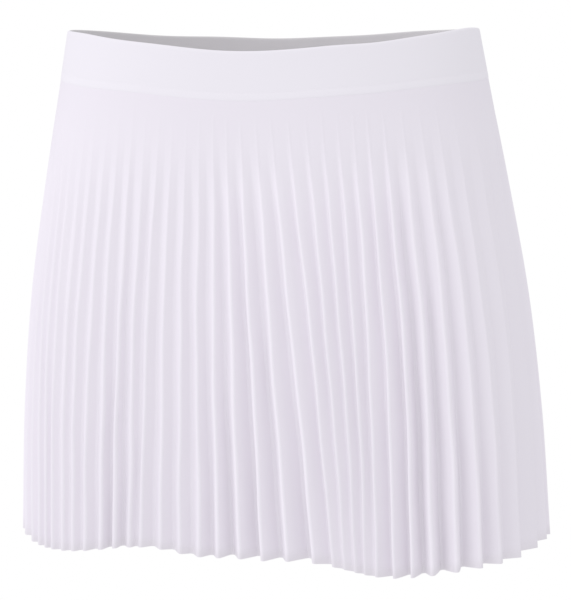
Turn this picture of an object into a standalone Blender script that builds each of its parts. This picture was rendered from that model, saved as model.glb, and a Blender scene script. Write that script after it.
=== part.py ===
# Tennis skirt: a shaped waistband over two sunray-pleated panels, held open as it hangs when worn.
# Metres, +Z up. The wearer's front faces -Y and the wearer's left is +X.
# The origin is the middle of the waist, halfway down the waistband.

import math

import bmesh
import bpy
import numpy as np

# ---------------------------------------------------------------- driving sizes

SKIRT_LENGTH = 0.390        # from the top edge to the hem, along the cloth
BAND_DEPTH = 0.038          # finished depth of the waistband
BAND_WALL = 0.0025          # two layers of cloth over elastic
PANEL_WALL = 0.0012         # one layer of cloth
SEAM_GAP = 0.0003           # left between two pieces that are sewn together
CUT_CIRCLE_SHARE = 1.0      # the two panels together are cut from one full circle
PLEATS_BEGIN = 0.022        # below the band, where the pressed folds start
PLEATS_FULL = 0.100         # below the band, where they reach their full depth
UPPER_PART = 0.110          # below the band, down to which the upper depths hold
TOP_POWER = 2.29            # plan of the waist: 2 is an ellipse, more is squarer
HEM_POWER = 3.26            # plan of the hem
SIDES_RISE = 0.0056         # how far the top edge rises at the sides and dips between
BACK_RISE = 0.0033          # how far the back of the waist sits above its middle
HEM_SWAY = 0.0057           # the hem hangs this far to the wearer's left
WAVE_GROWTH = 1.6           # 1 is a wave that widens evenly down to the hem
SLOPE_STEP = 0.005          # step along the cloth when its fall is added up
PLAN_POINTS = 721           # points of each half outline when lengths are measured

# The body of the skirt at a few distances below the top edge, in metres.
# drop, half_width, front_depth, back_depth
RINGS = (
    (0.000, 0.1555, 0.1016, 0.0970),
    (0.038, 0.1615, 0.1045, 0.1070),
    (0.120, 0.1746, 0.1063, 0.1201),
    (0.200, 0.1859, 0.1068, 0.1308),
    (0.290, 0.1931, 0.1048, 0.1400),
    (0.390, 0.1962, 0.1019, 0.1440),
)

# How the band's top edge dips and rises; its lower edge stays where it is.
# angle, spread (degrees), rise (metres)
RISE = 2
TOP_WAVES = (
    (-126, 17, -0.0024),
    (-84, 14, 0.0010),
    (-65, 12, 0.0018),
    (-36, 20, 0.0010),
    (48, 10, -0.0013),
    (80, 13, 0.0021),
    (132, 14, 0.0007),
    (168, 22, 0.0015),
)

# Slow waves of the hem: 0 degrees is the wearer's front, +90 the wearer's left.
# angle, spread (degrees), outward, lift (metres, at the hem)
OUTWARD, LIFT = 2, 3
HEM_WAVES = (
    (-110, 14, -0.0003, 0.0045),
    (-92, 14, -0.0017, 0.0045),
    (-76, 14, -0.0011, 0.0125),
    (-60, 14, 0.0085, 0.0002),
    (-44, 14, -0.0058, 0.0147),
    (-28, 14, -0.0036, 0.0088),
    (-12, 14, -0.0037, 0.0118),
    (4, 14, -0.0024, 0.0111),
    (20, 13, -0.0022, 0.0114),
    (34, 11, -0.0020, 0.0053),
    (46, 11, -0.0036, -0.0025),
    (58, 11, 0.0007, -0.0005),
    (72, 13, -0.0033, -0.0004),
    (88, 14, 0.0021, 0.0018),
    (104, 14, 0.0041, 0.0012),
    (128, 14, -0.0080, 0.0030),
    (150, 13, 0.0050, 0.0000),
    (172, 15, -0.0090, 0.0045),
    (196, 14, 0.0040, 0.0015),
    (218, 14, -0.0085, 0.0040),
    (236, 12, 0.0040, 0.0030),
)

# Runs of like pleats, from the wearer's right side seam round to the left one. Each pitch is the
# distance from the ridge before, in metres; half of the first one is the distance from the seam.
# The fold before each ridge has a depth in the upper part and one at the hem, as shares of what the
# cut cloth allows, and its valley lies some way on from the ridge before, as a share of the pitch:
# more than a half leans the ridge.
# pleats, top_pitch, hem_pitch, upper_depth, hem_depth, valley_place
PLEATS, TOP_PITCH, HEM_PITCH, UPPER_DEPTH, HEM_DEPTH, VALLEY_PLACE = range(6)
FRONT_PLEATS = (
    (5, 0.0095, 0.0148, 0.48, 0.70, 0.50),
    (1, 0.0095, 0.0140, 0.42, 0.50, 0.50),
    (1, 0.0095, 0.0095, 0.32, 0.24, 0.50),
    (1, 0.0095, 0.0072, 0.32, 0.20, 0.50),
    (1, 0.0095, 0.0064, 0.32, 0.20, 0.50),
    (1, 0.0107, 0.0096, 0.32, 0.22, 0.50),
    (1, 0.0097, 0.0084, 0.32, 0.22, 0.50),
    (1, 0.0119, 0.0098, 0.38, 0.28, 0.50),
    (1, 0.0100, 0.0129, 0.42, 0.42, 0.50),
    (1, 0.0112, 0.0103, 0.42, 0.58, 0.50),
    (1, 0.0102, 0.0119, 0.42, 0.58, 0.38),
    (1, 0.0112, 0.0083, 0.42, 0.26, 0.50),
    (1, 0.0098, 0.0149, 0.45, 0.48, 0.50),
    (1, 0.0105, 0.0149, 0.45, 0.50, 0.50),
    (1, 0.0096, 0.0146, 0.50, 0.50, 0.48),
    (1, 0.0102, 0.0142, 0.55, 0.68, 0.48),
    (1, 0.0096, 0.0166, 0.75, 0.95, 0.42),
    (1, 0.0096, 0.0176, 1.00, 1.10, 0.55),
    (1, 0.0111, 0.0187, 1.00, 1.00, 0.50),
    (1, 0.0105, 0.0202, 1.00, 1.10, 0.62),
    (1, 0.0125, 0.0143, 0.90, 0.50, 0.76),
    (1, 0.0128, 0.0083, 0.75, 0.14, 0.72),
    (1, 0.0117, 0.0078, 0.72, 0.14, 0.74),
    (1, 0.0114, 0.0071, 0.72, 0.18, 0.74),
    (1, 0.0110, 0.0081, 0.78, 0.18, 0.68),
    (1, 0.0102, 0.0129, 1.00, 0.60, 0.80),
    (1, 0.0116, 0.0134, 1.10, 0.80, 0.80),
    (1, 0.0134, 0.0144, 1.10, 0.80, 0.55),
    (1, 0.0133, 0.0181, 0.95, 0.95, 0.50),
    (1, 0.0132, 0.0190, 0.80, 0.85, 0.50),
    (1, 0.0145, 0.0178, 0.50, 0.60, 0.50),
    (1, 0.0200, 0.0215, 0.35, 0.40, 0.50),
    (1, 0.0290, 0.0323, 0.35, 0.40, 0.50),
)

# The back, from the wearer's left side seam round to the right one.
BACK_PLEATS = (
    (1, 0.0290, 0.0323, 0.35, 0.40, 0.50),
    (2, 0.0150, 0.0200, 0.70, 0.85, 0.45),
    (2, 0.0125, 0.0176, 0.90, 1.00, 0.40),
    (3, 0.0114, 0.0116, 0.85, 0.40, 0.35),
    (1, 0.0108, 0.0180, 0.95, 1.05, 0.50),
    (2, 0.0112, 0.0156, 0.85, 0.90, 0.55),
    (3, 0.0108, 0.0096, 0.75, 0.35, 0.68),
    (2, 0.0112, 0.0208, 0.95, 1.05, 0.50),
    (3, 0.0110, 0.0166, 0.90, 0.90, 0.42),
    (2, 0.0112, 0.0104, 0.70, 0.40, 0.35),
    (1, 0.0108, 0.0188, 0.90, 1.05, 0.50),
    (3, 0.0108, 0.0156, 0.80, 0.80, 0.58),
    (3, 0.0112, 0.0104, 0.60, 0.35, 0.68),
    (2, 0.0108, 0.0184, 0.65, 0.80, 0.50),
    (2, 0.0102, 0.0116, 0.50, 0.45, 0.50),
    (2, 0.0106, 0.0150, 0.50, 0.60, 0.50),
    (5, 0.0095, 0.0148, 0.48, 0.70, 0.50),
)

# Distances below the top edge where the panels and the band have a row of points.
PANEL_ROWS = (0.0383, 0.056, 0.072, 0.093, 0.125, 0.165, 0.215, 0.270, 0.330, 0.390)
BAND_ROWS = (0.000, 0.003, 0.019, 0.035, 0.038)
BAND_EDGE_SETBACK = 0.0006  # the folded edges of the band are this much rounded off
BAND_STATIONS = 44          # points along each half of the band
SOFT_EDGE_DEGREES = 40      # edges of the band that bend less than this are shaded smooth

# Where the side seams are, in degrees round from the wearer's front.
RIGHT_SEAM = -90
LEFT_SEAM = 90

WHITE_CLOTH = (0.90, 0.86, 0.92, 1.0)
BAND_CLOTH = (0.91, 0.89, 0.93, 1.0)
CLOTH_ROUGHNESS = 0.85


# ---------------------------------------------------------------- the hanging form

def ring_sizes(drop):
    """Half-width, front depth and back depth at a distance below the top edge, on smooth curves."""
    rows = np.array(RINGS)
    drops, sizes = rows[:, 0], rows[:, 1:]
    slopes = np.gradient(sizes, drops, axis=0)
    index = int(np.clip(np.searchsorted(drops, drop) - 1, 0, len(rows) - 2))
    span = drops[index + 1] - drops[index]
    share = (drop - drops[index]) / span
    ease = share * share * (3 - 2 * share)
    level = sizes[index] + ease * (sizes[index + 1] - sizes[index])
    leave = share * (1 - share) ** 2 * span * slopes[index]
    arrive = share * share * (share - 1) * span * slopes[index + 1]
    return level + leave + arrive


def wave_sum(waves, angles, column):
    """One column of a table of waves added up at each angle, as smooth bumps round the skirt."""
    total = np.zeros_like(angles)
    for wave in waves:
        away = (np.degrees(angles) - wave[0] + 180) % 360 - 180
        total += wave[column] * np.exp(-(away / wave[1]) ** 2)
    return total


def outline(drop, angles):
    """Plan of the skirt's outer skin at one drop: x and y for each angle."""
    half_width, front_depth, back_depth = ring_sizes(drop)
    share = drop / SKIRT_LENGTH
    power = TOP_POWER + (HEM_POWER - TOP_POWER) * share
    across, ahead = np.sin(angles), np.cos(angles)
    half_depth = np.where(ahead > 0, front_depth, back_depth)
    radius = (np.abs(across / half_width) ** power + np.abs(ahead / half_depth) ** power) ** (-1 / power)
    radius = radius + wave_sum(HEM_WAVES, angles, OUTWARD) * share**WAVE_GROWTH
    return radius * across + HEM_SWAY * share, -radius * ahead


def heights(drops, angles):
    """Height of the skin at each drop: a metre of cloth stays a metre, however it slopes."""
    top = BAND_DEPTH / 2 - SIDES_RISE * np.cos(2 * angles) - BACK_RISE * np.cos(angles)
    crest = wave_sum(TOP_WAVES, angles, RISE)
    shorten = 1 - wave_sum(HEM_WAVES, angles, LIFT) / SKIRT_LENGTH
    steps = np.linspace(0, SKIRT_LENGTH, round(SKIRT_LENGTH / SLOPE_STEP) + 1)
    plans = [outline(step, angles) for step in steps]
    fallen = [np.zeros_like(angles)]
    for (x0, y0), (x1, y1) in zip(plans, plans[1:]):
        outward = np.hypot(x1 - x0, y1 - y0)
        fallen.append(fallen[-1] + np.sqrt(SLOPE_STEP**2 - outward**2))
    fallen = np.array(fallen)
    return [top + crest * max(1 - drop / BAND_DEPTH, 0)
            - shorten * np.array([np.interp(drop, steps, column) for column in fallen.T])
            for drop in drops]


class Row:
    """One row of the skin, from side seam to side seam, read by its share of the way along."""

    def __init__(self, drop, angles, level):
        self.drop = drop
        x, y = outline(drop, angles)
        steps = np.hypot(np.diff(x), np.diff(y))
        self.length = steps.sum()
        self.shares = np.concatenate([[0], np.cumsum(steps)]) / self.length
        self.points = np.stack([x, y, level], axis=1)
        self.along = np.gradient(self.points[:, :2], axis=0)

    def read(self, share, columns):
        return np.array([np.interp(share, self.shares, column) for column in columns.T])

    def direction(self, share):
        """Unit plan direction along the row, towards the wearer's left on the front."""
        along = self.read(share, self.along)
        return along / np.linalg.norm(along)

    def point(self, share, sunk=0.0):
        """A point of the row, sunk inwards from the skin."""
        place = self.read(share, self.points)
        along = self.direction(share)
        return place + sunk * np.array([-along[1], along[0], 0])


def skin_rows(drops, start_degrees):
    """Rows of one half of the skirt, going round to the wearer's left from start_degrees."""
    angles = np.radians(np.linspace(start_degrees, start_degrees + 180, PLAN_POINTS))
    return [Row(drop, angles, level) for drop, level in zip(drops, heights(drops, angles))]


# ---------------------------------------------------------------- pleats

def ridge_shares(runs, column):
    """Where the ridges stand along a row, from the pitches in one column of a pleat table."""
    pitches = np.array([run[column] for run in runs for _ in range(run[PLEATS])])
    places = np.cumsum(pitches) - pitches[0] / 2
    return places / (places[-1] + pitches[-1] / 2)


def at_valleys(runs, column):
    """One column of a pleat table at each valley, from the first side seam to the last."""
    values = [run[column] for run in runs for _ in range(run[PLEATS])]
    return np.array(values + values[-1:])


def pitches_along(ridges, length):
    """Distance from ridge to ridge at each valley; at the seams, twice the way to the ridge."""
    gaps = np.concatenate([[2 * ridges[0]], np.diff(ridges), [2 * (1 - ridges[-1])]])
    return gaps * length


def depth_shares(runs, below_band):
    """Share of the possible depth at each valley: the upper one, then easing to the hem's."""
    lower_part = SKIRT_LENGTH - BAND_DEPTH - UPPER_PART
    share_down = min(max((below_band - UPPER_PART) / lower_part, 0), 1)
    upper, hem = at_valleys(runs, UPPER_DEPTH), at_valleys(runs, HEM_DEPTH)
    return upper * (1 - share_down) + hem * share_down


def pleat_depths(below_band, before, after, seam_pitches, pleats):
    """Depth of each fold: its cut width, which grows down the cloth, is bent into two faces."""
    cut_widths = seam_pitches + CUT_CIRCLE_SHARE * math.pi * below_band / pleats
    share = min(max((below_band - PLEATS_BEGIN) / (PLEATS_FULL - PLEATS_BEGIN), 0), 1)
    ease = share * share * (3 - 2 * share)
    faces = (cut_widths**2 + before**2 - after**2) / (2 * cut_widths)
    return ease * np.sqrt(np.maximum(faces**2 - before**2, 0))


def pleated_line(row, runs, seam_length):
    """Ridges and valleys of one row, valley first and last."""
    below_band = row.drop - BAND_DEPTH
    share_down = below_band / (SKIRT_LENGTH - BAND_DEPTH)
    top, hem = ridge_shares(runs, TOP_PITCH), ridge_shares(runs, HEM_PITCH)
    ridges = top + (hem - top) * share_down
    places = at_valleys(runs, VALLEY_PLACE)
    valleys = np.concatenate([[0], ridges[:-1] + places[1:-1] * np.diff(ridges), [1]])
    pitches = pitches_along(ridges, row.length)
    seam_pitches = pitches_along(top, seam_length)
    depths = depth_shares(runs, below_band) * pleat_depths(
        below_band, places * pitches, (1 - places) * pitches, seam_pitches, len(ridges))
    line = []
    for index, valley in enumerate(valleys):
        line.append(row.point(valley, depths[index]))
        if index < len(ridges):
            line.append(row.point(ridges[index]))
    return np.array(line)


# ---------------------------------------------------------------- walls

def mirrored_past_end(end, neighbour, along):
    """The neighbour's reflection past the end of a line, as the next piece would carry on."""
    step = neighbour - end
    return end + step - 2 * np.dot(step, along) * along


def walled(line, row, wall):
    """Outer and inner lines of a wall: the inner one keeps the wall's thickness round each fold."""
    start_along, end_along = row.direction(0), row.direction(1)
    plan = line[:, :2]
    before = mirrored_past_end(plan[0], plan[1], start_along)
    after = mirrored_past_end(plan[-1], plan[-2], end_along)
    steps = np.diff(np.vstack([before, plan, after]), axis=0)
    steps /= np.linalg.norm(steps, axis=1)[:, None]
    inward = np.stack([-steps[:, 1], steps[:, 0]], axis=1)
    middle = inward[:-1] + inward[1:]
    middle /= np.linalg.norm(middle, axis=1)[:, None]
    reach = wall / np.sum(middle * inward[1:], axis=1)
    outer, inner = line.copy(), line.copy()
    inner[:, :2] += middle * reach[:, None]
    for layer in (outer, inner):
        layer[0, :2] += start_along * SEAM_GAP / 2
        layer[-1, :2] -= end_along * SEAM_GAP / 2
    return outer, inner


def wall_object(name, outer_rows, inner_rows, material):
    """A closed wall from matching rows of outer and inner points."""
    mesh = bpy.data.meshes.new(name)
    shape = bmesh.new()
    outer = [[shape.verts.new(point) for point in row] for row in outer_rows]
    inner = [[shape.verts.new(point) for point in row] for row in inner_rows]
    last_row, last_point = len(outer) - 1, len(outer[0]) - 1
    for row in range(last_row):
        for point in range(last_point):
            corners = ((row, point), (row + 1, point), (row + 1, point + 1), (row, point + 1))
            shape.faces.new([outer[r][p] for r, p in corners])
            shape.faces.new([inner[r][p] for r, p in reversed(corners)])
        shape.faces.new((outer[row][0], inner[row][0], inner[row + 1][0], outer[row + 1][0]))
        shape.faces.new((outer[row][last_point], outer[row + 1][last_point],
                         inner[row + 1][last_point], inner[row][last_point]))
    for point in range(last_point):
        shape.faces.new((outer[0][point], outer[0][point + 1], inner[0][point + 1], inner[0][point]))
        shape.faces.new((outer[last_row][point], inner[last_row][point],
                         inner[last_row][point + 1], outer[last_row][point + 1]))
    bmesh.ops.triangulate(shape, faces=shape.faces[:])
    bmesh.ops.recalc_face_normals(shape, faces=shape.faces[:])
    shape.to_mesh(mesh)
    shape.free()
    mesh.materials.append(material)
    piece = bpy.data.objects.new(name, mesh)
    bpy.context.scene.collection.objects.link(piece)
    return piece


def cloth_material(name, colour):
    material = bpy.data.materials.new(name)
    material.use_nodes = True
    shader = material.node_tree.nodes["Principled BSDF"]
    shader.inputs["Base Color"].default_value = colour
    shader.inputs["Roughness"].default_value = CLOTH_ROUGHNESS
    shader.inputs["Metallic"].default_value = 0.0
    material.diffuse_color = colour
    return material


# ---------------------------------------------------------------- the pieces

def make_panel(name, start_degrees, runs, material):
    """A pleated panel from side seam to side seam, hanging from the band to the hem."""
    seam_length = skin_rows((BAND_DEPTH,), start_degrees)[0].length
    outer_rows, inner_rows = [], []
    for row in skin_rows(PANEL_ROWS, start_degrees):
        line = pleated_line(row, runs, seam_length)
        outer, inner = walled(line, row, PANEL_WALL)
        outer_rows.append(outer)
        inner_rows.append(inner)
    return wall_object(name, outer_rows, inner_rows, material)


def make_band(name, start_degrees, material):
    """Half of the waistband, its top and lower edges folded round."""
    shares = np.linspace(0, 1, BAND_STATIONS)
    outer_rows, inner_rows = [], []
    for row in skin_rows(BAND_ROWS, start_degrees):
        at_edge = row.drop in (BAND_ROWS[0], BAND_ROWS[-1])
        setback = BAND_EDGE_SETBACK if at_edge else 0.0
        line = np.array([row.point(share, setback) for share in shares])
        outer, inner = walled(line, row, BAND_WALL - 2 * setback)
        outer_rows.append(outer)
        inner_rows.append(inner)
    piece = wall_object(name, outer_rows, inner_rows, material)
    piece.data.shade_smooth()
    piece.data.set_sharp_from_angle(angle=math.radians(SOFT_EDGE_DEGREES))
    return piece


def clear_scene():
    for thing in list(bpy.data.objects):
        bpy.data.objects.remove(thing, do_unlink=True)


def main():
    clear_scene()
    cloth = cloth_material("pleated_cloth", WHITE_CLOTH)
    band_cloth = cloth_material("band_cloth", BAND_CLOTH)
    make_band("waistband_front", RIGHT_SEAM, band_cloth)
    make_band("waistband_back", LEFT_SEAM, band_cloth)
    make_panel("pleated_front", RIGHT_SEAM, FRONT_PLEATS, cloth)
    make_panel("pleated_back", LEFT_SEAM, BACK_PLEATS, cloth)


main()
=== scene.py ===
# Tennis skirt: the fine cloth, the sewing, the floor, the lights and the camera.
import math

import bmesh
import bpy
import numpy as np
from mathutils import Matrix, Vector


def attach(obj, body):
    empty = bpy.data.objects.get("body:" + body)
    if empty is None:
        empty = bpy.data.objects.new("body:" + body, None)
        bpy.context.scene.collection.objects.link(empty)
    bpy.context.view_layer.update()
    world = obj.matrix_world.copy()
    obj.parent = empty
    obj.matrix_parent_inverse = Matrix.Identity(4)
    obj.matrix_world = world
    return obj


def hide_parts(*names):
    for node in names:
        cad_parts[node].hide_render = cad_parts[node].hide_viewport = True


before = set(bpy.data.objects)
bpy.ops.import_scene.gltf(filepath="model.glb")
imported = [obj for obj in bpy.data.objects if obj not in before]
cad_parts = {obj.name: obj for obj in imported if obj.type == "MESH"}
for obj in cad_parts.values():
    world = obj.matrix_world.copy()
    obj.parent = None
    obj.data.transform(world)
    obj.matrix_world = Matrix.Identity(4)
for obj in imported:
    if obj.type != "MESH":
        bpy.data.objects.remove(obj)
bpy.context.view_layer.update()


# How the skirt hangs. The wearer's front faces -Y and the wearer's left is +X.
# Angles go round from the front towards the wearer's left; a drop is measured down the cloth.
hang = {
    "length": 0.390,            # top edge to hem
    "bandDepth": 0.038,
    "topPower": 2.29,           # plan of the waist: 2 is an ellipse, more is squarer
    "hemPower": 3.26,
    "sidesRise": 0.0056,        # the top edge is this much higher at the sides
    "backRise": 0.0033,
    "hemSway": 0.0057,          # the hem hangs this far to the wearer's left
    "waveGrowth": 1.6,
    "slopeStep": 0.005,
    "planPoints": 721,
    # drop, half width, front depth, back depth
    "rings": (
        (0.000, 0.1555, 0.1016, 0.0970),
        (0.038, 0.1615, 0.1045, 0.1070),
        (0.120, 0.1746, 0.1063, 0.1201),
        (0.200, 0.1859, 0.1068, 0.1308),
        (0.290, 0.1931, 0.1048, 0.1400),
        (0.390, 0.1962, 0.1019, 0.1440),
    ),
    # angle, spread in degrees, rise: how the band's top edge dips and rises
    "topWaves": (
        (-126, 17, -0.0024),
        (-84, 14, 0.0010),
        (-65, 12, 0.0018),
        (-36, 20, 0.0010),
        (48, 10, -0.0013),
        (80, 13, 0.0021),
        (132, 14, 0.0007),
        (168, 22, 0.0015),
    ),
    # angle, spread in degrees, outward, lift: slow waves, full at the hem
    "waves": (
        (-110, 14, -0.0003, 0.0045),
        (-92, 14, -0.0017, 0.0045),
        (-76, 14, -0.0011, 0.0125),
        (-60, 14, 0.0085, 0.0002),
        (-44, 14, -0.0058, 0.0147),
        (-28, 14, -0.0036, 0.0088),
        (-12, 14, -0.0037, 0.0118),
        (4, 14, -0.0024, 0.0111),
        (20, 13, -0.0022, 0.0114),
        (34, 11, -0.0020, 0.0053),
        (46, 11, -0.0036, -0.0025),
        (58, 11, 0.0007, -0.0005),
        (72, 13, -0.0033, -0.0004),
        (88, 14, 0.0021, 0.0018),
        (104, 14, 0.0041, 0.0012),
        (128, 14, -0.0080, 0.0030),
        (150, 13, 0.0050, 0.0000),
        (172, 15, -0.0090, 0.0045),
        (196, 14, 0.0040, 0.0015),
        (218, 14, -0.0085, 0.0040),
        (236, 12, 0.0040, 0.0030),
    ),
}
waveAngle, waveSpread = 0, 1        # columns of both tables of waves
riseColumn = 2                      # of topWaves
outwardColumn, liftColumn = 2, 3    # of waves


def ringSizes(drop):
    rings = np.array(hang["rings"])
    drops, sizes = rings[:, 0], rings[:, 1:]
    slopes = np.gradient(sizes, drops, axis=0)
    index = int(np.clip(np.searchsorted(drops, drop) - 1, 0, len(rings) - 2))
    span = drops[index + 1] - drops[index]
    share = (drop - drops[index]) / span
    level = sizes[index] + smoothStep(share) * (sizes[index + 1] - sizes[index])
    leave = share * (1 - share) ** 2 * span * slopes[index]
    arrive = share * share * (share - 1) * span * slopes[index + 1]
    return level + leave + arrive


def smoothStep(share):
    share = np.clip(share, 0, 1)
    return share * share * (3 - 2 * share)


def waveSum(waves, angles, column):
    total = np.zeros_like(angles)
    for wave in waves:
        away = (np.degrees(angles) - wave[waveAngle] + 180) % 360 - 180
        total += wave[column] * np.exp(-(away / wave[waveSpread]) ** 2)
    return total


def outline(drop, angles):
    halfWidth, frontDepth, backDepth = ringSizes(drop)
    share = drop / hang["length"]
    power = hang["topPower"] + (hang["hemPower"] - hang["topPower"]) * share
    across, ahead = np.sin(angles), np.cos(angles)
    halfDepth = np.where(ahead > 0, frontDepth, backDepth)
    radius = (np.abs(across / halfWidth) ** power + np.abs(ahead / halfDepth) ** power) ** (-1 / power)
    radius = radius + waveSum(hang["waves"], angles, outwardColumn) * share ** hang["waveGrowth"]
    return radius * across + hang["hemSway"] * share, -radius * ahead


# A metre of cloth stays a metre however it slopes, so the height falls more slowly where it flares.
def heights(drops, angles):
    top = hang["bandDepth"] / 2 - hang["sidesRise"] * np.cos(2 * angles) - hang["backRise"] * np.cos(angles)
    crest = waveSum(hang["topWaves"], angles, riseColumn)
    shorten = 1 - waveSum(hang["waves"], angles, liftColumn) / hang["length"]
    steps = np.linspace(0, hang["length"], round(hang["length"] / hang["slopeStep"]) + 1)
    plans = [outline(step, angles) for step in steps]
    fallen = [np.zeros_like(angles)]
    for (x0, y0), (x1, y1) in zip(plans, plans[1:]):
        outward = np.hypot(x1 - x0, y1 - y0)
        fallen.append(fallen[-1] + np.sqrt(hang["slopeStep"] ** 2 - outward ** 2))
    fallen = np.array(fallen)
    return [top + crest * max(1 - drop / hang["bandDepth"], 0)
            - shorten * np.array([np.interp(drop, steps, column) for column in fallen.T])
            for drop in drops]


# Rows of half of the skirt's skin, from one side seam to the other.
def skinRows(drops, startDegrees):
    angles = np.radians(np.linspace(startDegrees, startDegrees + 180, hang["planPoints"]))
    rows = []
    for drop, level in zip(drops, heights(drops, angles)):
        x, y = outline(drop, angles)
        steps = np.hypot(np.diff(x), np.diff(y))
        along = np.gradient(np.stack([x, y], axis=1), axis=0)
        along /= np.linalg.norm(along, axis=1)[:, None]
        rows.append({
            "drop": drop,
            "length": steps.sum(),
            "shares": np.concatenate([[0], np.cumsum(steps)]) / steps.sum(),
            "points": np.stack([x, y, level], axis=1),
            "along": along,
        })
    return rows


def readRow(row, what, shares):
    return np.stack([np.interp(shares, row["shares"], column) for column in row[what].T], axis=1)


# Points of a row at some shares of its way, each sunk inwards from the skin.
def onSkin(row, shares, sunk):
    places, along = readRow(row, "points", shares), readRow(row, "along", shares)
    places[:, 0] -= sunk * along[:, 1]
    places[:, 1] += sunk * along[:, 0]
    return places


def meshOf(shape, name):
    mesh = bpy.data.meshes.new(name)
    shape.to_mesh(mesh)
    shape.free()
    return mesh


def addObject(name, data):
    made = bpy.data.objects.new(name, data)
    bpy.context.scene.collection.objects.link(made)
    return made


sharpFrom = math.radians(62)        # creases that turn more than this stay crisp


# A flat slab of a grid with a layer above it, closed round its edge, then laid along the rows.
# outer and inner are points by row, from the top, and by column, from the first side seam.
def layCloth(name, outer, inner, cut, materials, pressed=None):
    rowCount, columnCount = outer.shape[:2]
    shape = bmesh.new()
    bmesh.ops.create_grid(shape, x_segments=columnCount - 1, y_segments=rowCount - 1, size=1)
    raised = bmesh.ops.extrude_face_region(shape, geom=shape.faces[:])["geom"]
    bmesh.ops.translate(shape, vec=(0, 0, 1), verts=[v for v in raised if isinstance(v, bmesh.types.BMVert)])
    bmesh.ops.recalc_face_normals(shape, faces=shape.faces[:])
    mesh = meshOf(shape, name)
    flat = np.zeros(len(mesh.vertices) * 3)
    mesh.vertices.foreach_get("co", flat)
    flat = flat.reshape(-1, 3)
    column = np.rint((flat[:, 0] + 1) / 2 * (columnCount - 1)).astype(int)
    row = np.rint((1 - flat[:, 1]) / 2 * (rowCount - 1)).astype(int)
    isOuter = flat[:, 2] > 0.5
    placed = np.where(isOuter[:, None], outer[row, column], inner[row, column])
    mesh.vertices.foreach_set("co", placed.astype(np.float32).ravel())
    corners = np.zeros(len(mesh.loops), dtype=np.int32)
    mesh.loops.foreach_get("vertex_index", corners)
    onCut = mesh.uv_layers.new(name="onCut")
    onCut.data.foreach_set("uv", cut[row, column][corners].astype(np.float32).ravel())
    # how strong the painted highlight on the fold ridges is at each point
    if pressed is not None:
        onPoints = mesh.attributes.new("pressed", "FLOAT", "POINT")
        onPoints.data.foreach_set("value", pressed[row, column].astype(np.float32))
    for material in materials:
        mesh.materials.append(material)
    if len(materials) > 1:
        markInside(mesh, isOuter)
    mesh.update()
    mesh.shade_smooth()
    mesh.set_sharp_from_angle(angle=sharpFrom)
    return addObject(name, mesh)


# Faces whose corners all lie on the inner layer take the second material.
def markInside(mesh, isOuter):
    for face in mesh.polygons:
        face.material_index = 0 if any(isOuter[v] for v in face.vertices) else 1


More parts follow.
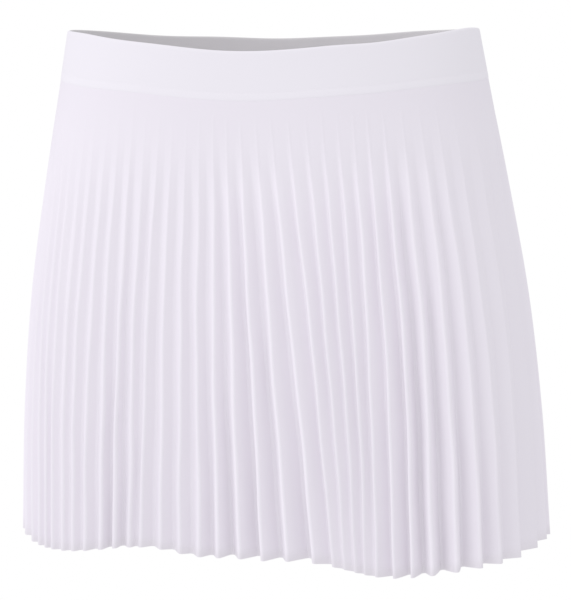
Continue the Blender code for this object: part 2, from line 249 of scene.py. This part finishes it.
# The two pleated panels, front and back.
pleats = {
    "wall": 0.00045,            # one layer of cloth
    "hemWall": 0.0008,          # the cloth is turned in at the hem
    "hemTurn": 0.0060,
    "hemShadeFade": 0.0100,          # the strip along the hem that is painted darker, as shade
    "underBandShadowFade": 0.042,          # below the band, where the painted shadow under it has faded out
    "tuck": 0.0012,             # the panel runs this far up inside the band
    "begin": 0.022,             # below the band, where the folds start
    "beginSpread": 0.009,       # some start this much higher, some lower
    "full": 0.100,
    "upperPart": 0.110,         # below the band, down to which the upper depths hold
    "press": 0.00030,           # how far the edge of a fold that takes all its cloth stands up
    "pressReach": 0.0008,
    "pressLength": 0.009,       # it shows from this far above the folds' start
    "highlightReach": 0.0030,       # how far from a ridge the painted highlight reaches
    "highlightDepth": 0.0040,       # folds shallower than this have less of it
    "highlightFrom": 0.30,          # so have folds that take up a small share of their cloth
    "highlightTo": 0.90,
    "foldRadius": 0.0019,       # of a pressed edge
    "mostRound": 0.45,          # a radius is at most this share of a face's width
    "innerRadius": 0.139,       # of the half circle that each panel is cut from
    "wander": 0.00055,          # how far a ridge strays from its straight way
    "wanderFull": 0.10,         # below the band, from where it strays that far
    "bulge": 0.00045,           # how far a face bellies between its creases
    "bulgeFull": 0.08,          # below the band, from where it bellies that far
    "bulgeDepth": 0.004,        # a fold this deep bellies half as far
    "foldSteps": (0, 0.38, 0.72, 0.97),   # columns from each edge of a face, as shares of the fold's radius
    "topRows": (0.0004, 0.002, 0.005, 0.009),       # rows of points, below the band
    "middleRows": (0.013, 0.340, 52),               # from, to, and how many
    "hemRows": (0.0075, 0.0061, 0.0057, 0.003, 0.0008, 0),   # above the edge
    # pleats, pitch at the seam, pitch at the hem, depth in the upper part and at the hem as shares of
    # what the cloth allows, and how far on from the ridge before the valley lies, as a share of the
    # pitch: from the wearer's right side seam
    "front": (
        (5, 0.0095, 0.0148, 0.48, 0.70, 0.50),
        (1, 0.0095, 0.0140, 0.42, 0.50, 0.50),
        (1, 0.0095, 0.0095, 0.32, 0.24, 0.50),
        (1, 0.0095, 0.0072, 0.32, 0.20, 0.50),
        (1, 0.0095, 0.0064, 0.32, 0.20, 0.50),
        (1, 0.0107, 0.0096, 0.32, 0.22, 0.50),
        (1, 0.0097, 0.0084, 0.32, 0.22, 0.50),
        (1, 0.0119, 0.0098, 0.38, 0.28, 0.50),
        (1, 0.0100, 0.0129, 0.42, 0.42, 0.50),
        (1, 0.0112, 0.0103, 0.42, 0.58, 0.50),
        (1, 0.0102, 0.0119, 0.42, 0.58, 0.38),
        (1, 0.0112, 0.0083, 0.42, 0.26, 0.50),
        (1, 0.0098, 0.0149, 0.45, 0.48, 0.50),
        (1, 0.0105, 0.0149, 0.45, 0.50, 0.50),
        (1, 0.0096, 0.0146, 0.50, 0.50, 0.48),
        (1, 0.0102, 0.0142, 0.55, 0.68, 0.48),
        (1, 0.0096, 0.0166, 0.75, 0.95, 0.42),
        (1, 0.0096, 0.0176, 1.00, 1.10, 0.55),
        (1, 0.0111, 0.0187, 1.00, 1.00, 0.50),
        (1, 0.0105, 0.0202, 1.00, 1.10, 0.62),
        (1, 0.0125, 0.0143, 0.90, 0.50, 0.76),
        (1, 0.0128, 0.0083, 0.75, 0.14, 0.72),
        (1, 0.0117, 0.0078, 0.72, 0.14, 0.74),
        (1, 0.0114, 0.0071, 0.72, 0.18, 0.74),
        (1, 0.0110, 0.0081, 0.78, 0.18, 0.68),
        (1, 0.0102, 0.0129, 1.00, 0.60, 0.80),
        (1, 0.0116, 0.0134, 1.10, 0.80, 0.80),
        (1, 0.0134, 0.0144, 1.10, 0.80, 0.55),
        (1, 0.0133, 0.0181, 0.95, 0.95, 0.50),
        (1, 0.0132, 0.0190, 0.80, 0.85, 0.50),
        (1, 0.0145, 0.0178, 0.50, 0.60, 0.50),
        (1, 0.0200, 0.0215, 0.35, 0.40, 0.50),
        (1, 0.0290, 0.0323, 0.35, 0.40, 0.50),
    ),
    # the same, from the wearer's left side seam
    "back": (
        (1, 0.0290, 0.0323, 0.35, 0.40, 0.50),
        (2, 0.0150, 0.0200, 0.70, 0.85, 0.45),
        (2, 0.0125, 0.0176, 0.90, 1.00, 0.40),
        (3, 0.0114, 0.0116, 0.85, 0.40, 0.35),
        (1, 0.0108, 0.0180, 0.95, 1.05, 0.50),
        (2, 0.0112, 0.0156, 0.85, 0.90, 0.55),
        (3, 0.0108, 0.0096, 0.75, 0.35, 0.68),
        (2, 0.0112, 0.0208, 0.95, 1.05, 0.50),
        (3, 0.0110, 0.0166, 0.90, 0.90, 0.42),
        (2, 0.0112, 0.0104, 0.70, 0.40, 0.35),
        (1, 0.0108, 0.0188, 0.90, 1.05, 0.50),
        (3, 0.0108, 0.0156, 0.80, 0.80, 0.58),
        (3, 0.0112, 0.0104, 0.60, 0.35, 0.68),
        (2, 0.0108, 0.0184, 0.65, 0.80, 0.50),
        (2, 0.0102, 0.0116, 0.50, 0.45, 0.50),
        (2, 0.0106, 0.0150, 0.50, 0.60, 0.50),
        (5, 0.0095, 0.0148, 0.48, 0.70, 0.50),
    ),
}
pleatCount, topPitch, hemPitch, upperDepth, hemDepth, valleyPlace = range(6)   # columns of a pleat table


# One column of a pleat table, with a value for each pleat.
def perPleat(runs, column):
    return [run[column] for run in runs for _ in range(run[pleatCount])]


# The same column at each valley.
def atValleys(runs, column):
    values = perPleat(runs, column)
    return np.array(values + values[-1:])


# Where the ridges stand along a row, as shares of its length.
def ridgeShares(runs, column):
    pitches = np.array(perPleat(runs, column))
    places = np.cumsum(pitches) - pitches[0] / 2
    return places / (places[-1] + pitches[-1] / 2)


# How far apart the ridges stand at each valley; at a side seam, as if the folds went on beyond it.
def foldGaps(ridges):
    return np.concatenate([[2 * ridges[0]], np.diff(ridges), [2 * (1 - ridges[-1])]])


def depthShares(runs, below):
    lowerPart = hang["length"] - hang["bandDepth"] - pleats["upperPart"]
    down = min(max((below - pleats["upperPart"]) / lowerPart, 0), 1)
    return atValleys(runs, upperDepth) * (1 - down) + atValleys(runs, hemDepth) * down


# A pleat's width of cut cloth, which grows down the half circle, is bent into its two faces.
def foldDepth(below, before, after, seamPitch, begins):
    cutWidth = seamPitch + math.pi * max(below, 0) / (len(before) - 1)
    ease = smoothStep((below - begins) / (pleats["full"] - begins))
    face = (cutWidth ** 2 + before ** 2 - after ** 2) / (2 * cutWidth)
    return ease * np.sqrt(np.maximum(face ** 2 - before ** 2, 0))


uneven = {
    "waves": ((0.21, 0.6), (0.09, 0.4)),    # wavelength, share of the unevenness
    "stretch": (0.8, 1.25),                 # each wavelength is divided by something between these
}


# Slow uneven curves down the cloth, one for each fold or face.
def slowNoise(dice, count, drops):
    noise = np.zeros((len(drops), count))
    for wavelength, size in uneven["waves"]:
        phase = dice.uniform(0, 2 * math.pi, count)
        stretch = dice.uniform(*uneven["stretch"], count)
        noise += size * np.sin(2 * math.pi * drops[:, None] / wavelength * stretch + phase)
    return noise


def panelDrops():
    top = np.array([-pleats["tuck"], *pleats["topRows"]])
    middle = np.linspace(*pleats["middleRows"])
    hem = hang["length"] - hang["bandDepth"] - np.array(pleats["hemRows"])
    return hang["bandDepth"] + np.concatenate([top, middle, hem])


# The faces of a row of folds, from ridge to valley: how far across, how far sunk, and which way they look.
# Both edges are arcs, and a straight stretch touches the two.
def foldFaces(widths, depths):
    radius = np.minimum(pleats["foldRadius"], pleats["mostRound"] * widths)
    toMiddle = np.hypot(widths / 2, depths / 2 - radius)
    lean = np.arctan2(widths / 2, depths / 2 - radius) - np.arcsin(radius / toMiddle)
    arcEnd = radius * np.cos(lean)
    near = np.outer(radius, pleats["foldSteps"])
    fromEdge = np.hstack([near, widths[:, None] / 2, near[:, ::-1]])
    radius, lean, arcEnd, across = radius[:, None], lean[:, None], arcEnd[:, None], widths[:, None]
    inArc = fromEdge < arcEnd
    turn = np.where(inArc, np.arcsin(np.minimum(fromEdge / radius, 1)), math.pi / 2 - lean)
    fall = np.where(inArc, radius * (1 - np.cos(turn)),
                    radius * (1 - np.sin(lean)) + (fromEdge - arcEnd) / np.tan(lean))
    isNear = np.arange(fromEdge.shape[1]) <= len(pleats["foldSteps"])
    along = np.where(isNear, fromEdge, across - fromEdge)
    sunk = np.where(isNear, fall, depths[:, None] - fall)
    return along, sunk, np.sin(turn), np.cos(turn)


# How strong a painted highlight each face's ridge gets: most where the folds beside it are deep.
def highlightStrength(depths, taken):
    depth, share = (depths[:-1] + depths[1:]) / 2, (taken[:-1] + taken[1:]) / 2
    highlightShare = (share - pleats["highlightFrom"]) / (pleats["highlightTo"] - pleats["highlightFrom"])
    return np.repeat(smoothStep(depth / pleats["highlightDepth"]) * smoothStep(highlightShare), 2)


# Outer and inner points of a panel by row and column, and how strong a painted highlight each gets.
def panelLayers(startDegrees, runs, dice):
    drops = panelDrops()
    seamLength = skinRows((hang["bandDepth"],), startDegrees)[0]["length"]
    top, hem = ridgeShares(runs, topPitch), ridgeShares(runs, hemPitch)
    topGaps = foldGaps(top) * seamLength
    places = atValleys(runs, valleyPlace)
    begins = pleats["begin"] + pleats["beginSpread"] * dice.uniform(-1, 1, len(places))
    begins[0], begins[-1] = pleats["begin"], pleats["begin"]   # the same on both sides of a side seam
    stray = slowNoise(dice, len(top), drops) * pleats["wander"]
    belly = slowNoise(dice, 2 * len(top), drops) * pleats["bulge"]
    goesUp = (np.arange(2 * len(top)) % 2 == 0)[:, None]
    outer, inner, pressed = [], [], []
    inOrder = lambda values: np.where(goesUp, values[:, ::-1], values)[:, :-1]
    for index, row in enumerate(skinRows(drops, startDegrees)):
        below = row["drop"] - hang["bandDepth"]
        down = below / (hang["length"] - hang["bandDepth"])
        strayed = stray[index] * smoothStep(below / pleats["wanderFull"])
        ridges = top + (hem - top) * down + strayed / row["length"]
        valleys = np.concatenate([[0], ridges[:-1] + places[1:-1] * np.diff(ridges), [1]])
        gaps = foldGaps(ridges) * row["length"]
        fullDepth = foldDepth(below, places * gaps, (1 - places) * gaps, topGaps, begins)
        taken = depthShares(runs, below)
        depths = taken * fullDepth
        creases = np.empty(2 * len(ridges) + 1)
        creases[0::2], creases[1::2] = valleys, ridges
        widths = np.diff(creases) * row["length"]
        faceDepths = np.repeat(depths, 2)[1:-1]
        along, sunk, sideways, outwards = foldFaces(widths, faceDepths)
        swell = belly[index] * smoothStep(below / pleats["bulgeFull"])
        swell = swell * faceDepths / (faceDepths + pleats["bulgeDepth"])
        sunk = sunk + swell[:, None] * np.sin(math.pi * along / widths[:, None])
        standsUp = smoothStep((below - np.repeat(begins, 2)[1:-1]) / pleats["pressLength"] + 1)
        standsUp = standsUp * np.repeat(taken[:-1] + taken[1:], 2) / 2
        sunk = sunk - pleats["press"] * standsUp[:, None] * np.exp(-(along / pleats["pressReach"]) ** 2)
        highlight = highlightStrength(depths, taken)[:, None] * np.exp(-(along / pleats["highlightReach"]) ** 2)
        along = inOrder(np.where(goesUp, widths[:, None] - along, along))
        sunk, outwards, highlight = inOrder(sunk), inOrder(outwards), inOrder(highlight)
        sideways = inOrder(np.where(goesUp, -sideways, sideways))
        shares = np.append((creases[:-1, None] + along / row["length"]).ravel(), 1)
        sunk = np.append(sunk.ravel(), depths[-1])
        wall = pleats["hemWall"] if hang["length"] - row["drop"] < pleats["hemTurn"] else pleats["wall"]
        shift = np.append(sideways.ravel(), 0) * wall / row["length"]
        outer.append(onSkin(row, shares, sunk))
        inner.append(onSkin(row, shares - shift, sunk + wall * np.append(outwards.ravel(), 1)))
        pressed.append(np.append(highlight.ravel(), 0))
    return drops, np.array(outer), np.array(inner), np.array(pressed)


# Where each point lies on the flat half circle that the panel is cut from.
def panelCut(drops, columnCount):
    turn = np.linspace(-math.pi / 2, math.pi / 2, columnCount)
    radius = pleats["innerRadius"] + drops - hang["bandDepth"]
    return np.stack([np.outer(radius, np.sin(turn)), np.outer(-radius, np.cos(turn))], axis=2)


def makePanel(name, startDegrees, runs, cloth, dice):
    drops, outer, inner, pressed = panelLayers(startDegrees, runs, dice)
    piece = layCloth(name, outer, inner, panelCut(drops, outer.shape[1]), [cloth], pressed)
    return piece, drops, outer


# The two halves of the waistband.
band = {
    "wall": 0.0025,
    "proud": 0.0003,            # the band stands this far out from the pleated cloth
    "edgeRound": 0.0018,        # radius of the folded edges
    "leastWall": 0.0005,
    "stitchDrop": 0.0315,       # where the row of stitches runs
    "edgeHighlightFrom": 0.0290,        # the lower edge lies over the seam; a painted highlight runs along it from here
    "edgeHighlightFull": 0.0335,
    "stitchSink": 0.00008,      # the thread draws the cloth in this far
    "stitchReach": 0.0006,
    "seamSink": 0.00040,        # the cloth dips at the side seams
    "seamReach": 0.0009,
    "sinkInside": 0.3,          # the inside follows this share of the outside's dips
    "unevenness": 0.00022,
    "unevenCurves": 6,          # the first three are used: along the top, along the bottom, between
    "unevenSpan": 0.44,         # they run over about the length of half the band
    "columns": 150,
    "drops": (0, 0.0002, 0.0006, 0.0013, 0.0026, 0.006, 0.011, 0.016, 0.021, 0.026, 0.0295, 0.0306,
              0.0311, 0.0315, 0.0319, 0.0324, 0.034, 0.0357, 0.0368, 0.0375, 0.0379, 0.0381),
    "seamSteps": (0, 0.0003, 0.0007, 0.0012, 0.0020, 0.0032),
}


def bandLayers(startDegrees, dice):
    outer, inner = [], []
    drops = np.array(band["drops"])
    columnPlaces = np.linspace(0, band["unevenSpan"], band["columns"] + 2 * len(band["seamSteps"]))
    dents = slowNoise(dice, band["unevenCurves"], columnPlaces)
    for row in skinRows(drops, startDegrees):
        ends = np.array(band["seamSteps"]) / row["length"]
        middle = np.linspace(ends[-1], 1 - ends[-1], band["columns"] + 2)[1:-1]
        shares = np.concatenate([ends, middle, 1 - ends[::-1]])
        toEdge = min(row["drop"], drops[-1] - row["drop"]) / band["edgeRound"]
        swell = math.sqrt(1 - (1 - min(toEdge, 1)) ** 2)
        half = band["leastWall"] / 2 + (band["wall"] - band["leastWall"]) / 2 * swell
        toSeam = np.minimum(shares, 1 - shares) * row["length"]
        sink = band["seamSink"] * np.exp(-(toSeam / band["seamReach"]) ** 2)
        toStitches = (row["drop"] - band["stitchDrop"]) / band["stitchReach"]
        sink = sink + band["stitchSink"] * math.exp(-toStitches ** 2)
        down = row["drop"] / hang["bandDepth"]
        lumps = dents[:, 0] * (1 - down) + dents[:, 1] * down + dents[:, 2] * math.sin(math.pi * down)
        sink = sink + band["unevenness"] * lumps * np.sin(math.pi * shares) - band["proud"]
        outer.append(onSkin(row, shares, band["wall"] / 2 - half + sink))
        inner.append(onSkin(row, shares, band["wall"] / 2 + half - sink * band["sinkInside"]))
    return drops, np.array(outer), np.array(inner)


# Half of the waistband, and the lines outside and inside that its stitches follow.
def makeBand(name, startDegrees, materials, dice):
    drops, outer, inner = bandLayers(startDegrees, dice)
    middleRow = skinRows((hang["bandDepth"] / 2,), startDegrees)[0]
    along = np.linspace(0, middleRow["length"], outer.shape[1])
    cut = np.stack(np.broadcast_arrays(along[None, :], -drops[:, None]), axis=2)
    sewn = int(np.argmin(np.abs(drops - band["stitchDrop"])))
    return layCloth(name, outer, inner, cut, materials), outer[sewn], inner[sewn]


# The rows of stitches along the hem and round the waistband.
thread = {
    "length": 0.0024,
    "gap": 0.0006,
    "width": 0.00034,
    "height": 0.00022,
    "hemDrop": 0.0057,          # the hem's stitches are this far above the edge
    "hemLift": 0.00002,         # a stitch's middle lies this far off the cloth
    "bandLift": 0.00004,
}


# Places along a line of points, a stitch apart, with the way the line runs there.
def stitchPlaces(line):
    steps = np.linalg.norm(np.diff(line, axis=0), axis=1)
    reach = np.concatenate([[0], np.cumsum(steps)])
    pitch = thread["length"] + thread["gap"]
    middles = np.arange(pitch, reach[-1] - pitch, pitch)
    before, after = middles - thread["length"] / 2, middles + thread["length"] / 2
    read = lambda at: np.stack([np.interp(at, reach, column) for column in line.T], axis=1)
    return (read(before) + read(after)) / 2, read(after) - read(before)


def makeStitches(name, lines, material):
    shape = bmesh.new()
    for line, lift in lines:
        for place, along in zip(*stitchPlaces(line)):
            along = Vector(along).normalized()
            outward = along.cross(Vector((0, 0, 1))).normalized()
            upward = outward.cross(along)
            turn = Matrix((along, outward, upward)).transposed().to_4x4()
            size = Matrix.Diagonal((thread["length"] / 2, thread["height"] / 2, thread["width"] / 2, 1))
            at = Matrix.Translation(Vector(place) + outward * lift)
            bmesh.ops.create_icosphere(shape, subdivisions=1, radius=1, matrix=at @ turn @ size)
    mesh = meshOf(shape, name)
    mesh.materials.append(material)
    mesh.shade_smooth()
    return addObject(name, mesh)


# How the cloth and the thread look.
finishes = {
    "pleatCloth": {
        "colour": (0.893, 0.857, 0.904), "shade": (0.874, 0.837, 0.888),
        # a paler colour painted as highlights on the fold ridges, a darker one as shade along the hem, and
        # one as a shadow below the band
        "pressed": (0.972, 0.932, 0.984), "hem": (0.815, 0.785, 0.812), "underBandShadow": (0.860, 0.822, 0.872),
        "roughness": 0.82, "sheen": 0.12, "threadPitch": 0.00042, "relief": 0.00003, "patches": 14,
    },
    "bandCloth": {
        # the seam colour is a painted highlight along the band's lower edge
        "colour": (0.888, 0.874, 0.902), "shade": (0.875, 0.859, 0.890), "seam": (0.900, 0.885, 0.914),
        "roughness": 0.80, "sheen": 0.12, "threadPitch": 0.00050, "relief": 0.00003, "patches": 11,
    },
    # the band's inside: the same cloth painted a darker grey, as shade
    "shadedBandInside": {
        "colour": (0.545, 0.541, 0.521), "shade": (0.526, 0.523, 0.503),
        "roughness": 0.88, "sheen": 0.05, "threadPitch": 0.00060, "relief": 0.00004, "patches": 11,
    },
}
allCloth = {"sheenRoughness": 0.5, "specular": 0.25, "bump": 0.35, "patchDetail": 3}
threadFinish = {
    "colour": (0.93, 0.90, 0.94), "roughness": 0.6, "bump": 0.3, "relief": 0.00003,
    "bandScale": 142.85714,     # its soft bands repeat every 4.4 mm along x + y + z
}


def newMaterial(name, roughness):
    material = bpy.data.materials.new(name)
    material.use_nodes = True
    shader = material.node_tree.nodes["Principled BSDF"]
    shader.inputs["Roughness"].default_value = roughness
    return material, material.node_tree, shader


def node(tree, kind, **values):
    made = tree.nodes.new(kind)
    for name, value in values.items():
        setattr(made, name, value)
    return made


def addRelief(tree, shader, height, strength, distance):
    bump = node(tree, "ShaderNodeBump")
    bump.inputs["Strength"].default_value = strength
    bump.inputs["Distance"].default_value = distance
    tree.links.new(height, bump.inputs["Height"])
    tree.links.new(bump.outputs["Normal"], shader.inputs["Normal"])


# Woven cloth: fine threads over and under one another, on the flat cut, with slow uneven patches.
def clothMaterial(name):
    look = finishes[name]
    material, tree, shader = newMaterial(name, look["roughness"])
    link = tree.links.new
    shader.inputs["Sheen Weight"].default_value = look["sheen"]
    shader.inputs["Sheen Roughness"].default_value = allCloth["sheenRoughness"]
    shader.inputs["Specular IOR Level"].default_value = allCloth["specular"]
    onCut = node(tree, "ShaderNodeUVMap", uv_map="onCut")
    split = node(tree, "ShaderNodeSeparateXYZ")
    link(onCut.outputs["UV"], split.inputs["Vector"])
    waves = []
    for axis in ("X", "Y"):
        scaled = node(tree, "ShaderNodeMath", operation="MULTIPLY")
        scaled.inputs[1].default_value = math.pi / look["threadPitch"]
        wave = node(tree, "ShaderNodeMath", operation="SINE")
        link(split.outputs[axis], scaled.inputs[0])
        link(scaled.outputs[0], wave.inputs[0])
        waves.append(wave)
    weave = node(tree, "ShaderNodeMath", operation="MULTIPLY")
    link(waves[0].outputs[0], weave.inputs[0])
    link(waves[1].outputs[0], weave.inputs[1])
    addRelief(tree, shader, weave.outputs[0], allCloth["bump"], look["relief"])
    place = node(tree, "ShaderNodeTexCoord")
    patches = node(tree, "ShaderNodeTexNoise")
    patches.inputs["Scale"].default_value = look["patches"]
    patches.inputs["Detail"].default_value = allCloth["patchDetail"]
    link(place.outputs["Object"], patches.inputs["Vector"])
    mix = node(tree, "ShaderNodeMix", data_type="RGBA")
    mix.inputs["A"].default_value = (*look["shade"], 1)
    mix.inputs["B"].default_value = (*look["colour"], 1)
    link(patches.outputs["Fac"], mix.inputs["Factor"])
    link(mix.outputs["Result"], shader.inputs["Base Color"])
    # painted highlights, shade and shadow on the pleated cloth
    if "pressed" in look:
        addPaintedShading(tree, look, mix, onCut, shader)
    # a painted highlight along the band's lower edge
    if "seam" in look:
        paintedEdgeShading = tinted(tree, mix, split.outputs["Y"], -band["edgeHighlightFrom"], -band["edgeHighlightFull"], look["seam"])
        link(paintedEdgeShading.outputs["Result"], shader.inputs["Base Color"])
    return material


# A colour that takes on a tint between two places, none at the first and all at the second.
def tinted(tree, plain, place, start, end, tint):
    share = node(tree, "ShaderNodeMapRange", interpolation_type="SMOOTHSTEP")
    share.inputs["From Min"].default_value = start
    share.inputs["From Max"].default_value = end
    tree.links.new(place, share.inputs["Value"])
    mix = node(tree, "ShaderNodeMix", data_type="RGBA")
    mix.inputs["B"].default_value = (*tint, 1)
    tree.links.new(share.outputs["Result"], mix.inputs["Factor"])
    tree.links.new(plain.outputs["Result"], mix.inputs["A"])
    return mix


# Painted shadow on the flat cloth below the band, painted highlights along the ridges of the folds,
# and painted shade along the hem, where it is turned in.
def addPaintedShading(tree, look, plain, onCut, shader):
    highlightAmount = node(tree, "ShaderNodeAttribute", attribute_name="pressed")
    radius = node(tree, "ShaderNodeVectorMath", operation="LENGTH")
    tree.links.new(onCut.outputs["UV"], radius.inputs[0])
    onRadius = radius.outputs["Value"]
    seam, hem = pleats["innerRadius"], pleats["innerRadius"] + hang["length"] - hang["bandDepth"]
    # painted shadow on the flat cloth below the band
    shadedUnderBand = tinted(tree, plain, onRadius, seam + pleats["underBandShadowFade"], seam, look["underBandShadow"])
    highlighted = node(tree, "ShaderNodeMix", data_type="RGBA")
    highlighted.inputs["B"].default_value = (*look["pressed"], 1)
    tree.links.new(highlightAmount.outputs["Fac"], highlighted.inputs["Factor"])
    tree.links.new(shadedUnderBand.outputs["Result"], highlighted.inputs["A"])
    # painted shade along the hem
    paintedEdgeShading = tinted(tree, highlighted, onRadius, hem - pleats["hemShadeFade"], hem, look["hem"])
    tree.links.new(paintedEdgeShading.outputs["Result"], shader.inputs["Base Color"])


# Thread with a faint unevenness along it.
def threadMaterial():
    material, tree, shader = newMaterial("sewingThread", threadFinish["roughness"])
    shader.inputs["Base Color"].default_value = (*threadFinish["colour"], 1)
    place = node(tree, "ShaderNodeTexCoord")
    bands = node(tree, "ShaderNodeTexWave", bands_direction="DIAGONAL")
    bands.inputs["Scale"].default_value = threadFinish["bandScale"]
    tree.links.new(place.outputs["Object"], bands.inputs["Vector"])
    addRelief(tree, shader, bands.outputs["Fac"], threadFinish["bump"], threadFinish["relief"])
    return material


dice = np.random.default_rng(40)
pleatCloth = clothMaterial("pleatCloth")
bandCloth = clothMaterial("bandCloth")
shadedBandInside = clothMaterial("shadedBandInside")
sewingThread = threadMaterial()
rightSeam, leftSeam = -90, 90

frontPanel, panelRows, frontLines = makePanel("frontPanel", rightSeam, pleats["front"], pleatCloth, dice)
backPanel, _, backLines = makePanel("backPanel", leftSeam, pleats["back"], pleatCloth, dice)
print("pleated panels:", len(frontPanel.data.polygons), "and", len(backPanel.data.polygons), "faces")

# the inner faces take the darker copy of the cloth, painted shade
frontBand, frontSewn, frontSewnInside = makeBand("frontBand", rightSeam, [bandCloth, shadedBandInside], dice)
backBand, backSewn, backSewnInside = makeBand("backBand", leftSeam, [bandCloth, shadedBandInside], dice)
print("waistband:", len(frontBand.data.polygons), "faces a half")

hemLevel = int(np.argmin(np.abs(panelRows - (hang["length"] - thread["hemDrop"]))))
hemLift, bandLift = thread["hemLift"], thread["bandLift"]
hemStitches = makeStitches("hemStitches", [(frontLines[hemLevel], hemLift), (backLines[hemLevel], hemLift)],
                           sewingThread)
bandStitches = makeStitches("bandStitches", [(frontSewn, bandLift), (backSewn, bandLift),
                                             (frontSewnInside, -bandLift), (backSewnInside, -bandLift)],
                            sewingThread)
print("stitches:", len(hemStitches.data.polygons) + len(bandStitches.data.polygons), "faces")

for piece, solid, slot in ((frontPanel, "pleated_front", "pleated_cloth"),
                           (backPanel, "pleated_back", "pleated_cloth"),
                           (frontBand, "waistband_front", "band_cloth"),
                           (backBand, "waistband_back", "band_cloth")):
    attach(piece, "root")
    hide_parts(solid)
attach(hemStitches, "root")
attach(bandStitches, "root")


# The floor, the light and the camera.
room = {
    "floorZ": -1.0,             # the waist is about a metre above the ground
    "floorRadius": 2.6,
    "floorSides": 96,
    "floorRoughness": 0.9,
    "floorColour": (0.80, 0.80, 0.81, 1),
    "skyForLight": 0.585,
    "skyColour": (1.0, 0.97, 1.07, 1),
    "skySeen": 1.0,
}
lamps = {
    # place, aim, width, height, watts, colour
    "left": ((-2.85, -0.76, 0.9), (0, 0, -0.15), 1.8, 1.8, 16, (1.0, 0.95, 1.08)),
    "front": ((-1.45, -2.5, 0.9), (0, 0, -0.15), 1.8, 1.8, 17, (1.0, 0.95, 1.08)),
    "right": ((1.7, -0.3, 1.9), (0, 0, -0.05), 1.4, 1.4, 3.2, (1.0, 0.95, 1.08)),
    "top": ((0.2, -0.4, 2.2), (0, 0, -0.1), 1.6, 1.6, 6.4, (1, 1, 1)),
}
view = {
    "distance": 2.4,
    "azimuth": math.radians(12),
    "sideways": 0.0087,         # the camera's place, beside the line to the skirt's middle
    "height": 0.040,
    "dip": math.radians(5.22),
    "roll": math.radians(-0.32),
    "lens": 127.2,
    "sensor": 24,
    "gamma": 1.8,
}


def makeFloor():
    shape = bmesh.new()
    bmesh.ops.create_circle(shape, cap_ends=True, segments=room["floorSides"], radius=room["floorRadius"])
    bmesh.ops.translate(shape, vec=(0, 0, room["floorZ"]), verts=shape.verts[:])
    mesh = meshOf(shape, "floor")
    floor = addObject("floor", mesh)
    material, _, shader = newMaterial("paleFloor", room["floorRoughness"])
    shader.inputs["Base Color"].default_value = room["floorColour"]
    mesh.materials.append(material)


def makeSky():
    world = bpy.data.worlds.new("studio")
    world.use_nodes = True
    bpy.context.scene.world = world
    tree = world.node_tree
    tree.nodes.clear()
    seen = node(tree, "ShaderNodeBackground")
    lit = node(tree, "ShaderNodeBackground")
    seen.inputs["Strength"].default_value = room["skySeen"]
    lit.inputs["Strength"].default_value = room["skyForLight"]
    seen.inputs["Color"].default_value = (1, 1, 1, 1)
    lit.inputs["Color"].default_value = room["skyColour"]
    path = node(tree, "ShaderNodeLightPath")
    mix = node(tree, "ShaderNodeMixShader")
    out = node(tree, "ShaderNodeOutputWorld")
    tree.links.new(path.outputs["Is Camera Ray"], mix.inputs["Fac"])
    tree.links.new(lit.outputs[0], mix.inputs[1])
    tree.links.new(seen.outputs[0], mix.inputs[2])
    tree.links.new(mix.outputs[0], out.inputs["Surface"])


def makeLamps():
    for name, (place, aim, width, height, watts, colour) in lamps.items():
        light = bpy.data.lights.new(name, "AREA")
        light.shape = "RECTANGLE"
        light.size, light.size_y = width, height
        light.energy = watts
        light.color = colour
        lamp = addObject(name, light)
        lamp.location = place
        lamp.rotation_euler = (Vector(aim) - Vector(place)).to_track_quat("-Z", "Y").to_euler()


def makeCamera():
    turn, dip, roll = view["azimuth"], view["dip"], view["roll"]
    ahead = Vector((-math.sin(turn) * math.cos(dip), math.cos(turn) * math.cos(dip), -math.sin(dip)))
    right = Vector((math.cos(turn), math.sin(turn), 0))
    up = right.cross(ahead)
    across = right * math.cos(roll) + up * math.sin(roll)
    above = up * math.cos(roll) - right * math.sin(roll)
    place = Vector((view["distance"] * math.sin(turn) + view["sideways"],
                    -view["distance"] * math.cos(turn), view["height"]))
    lens = bpy.data.cameras.new("camera")
    lens.sensor_fit = "VERTICAL"
    lens.sensor_height = view["sensor"]
    lens.lens = view["lens"]
    camera = addObject("camera", lens)
    camera.matrix_world = Matrix.Translation(place) @ Matrix((across, above, -ahead)).transposed().to_4x4()
    bpy.context.scene.camera = camera


makeFloor()
makeSky()
makeLamps()
makeCamera()
bpy.context.scene.view_settings.view_transform = "Standard"
bpy.context.scene.view_settings.gamma = view["gamma"]
print("floor, lights and camera are in place")
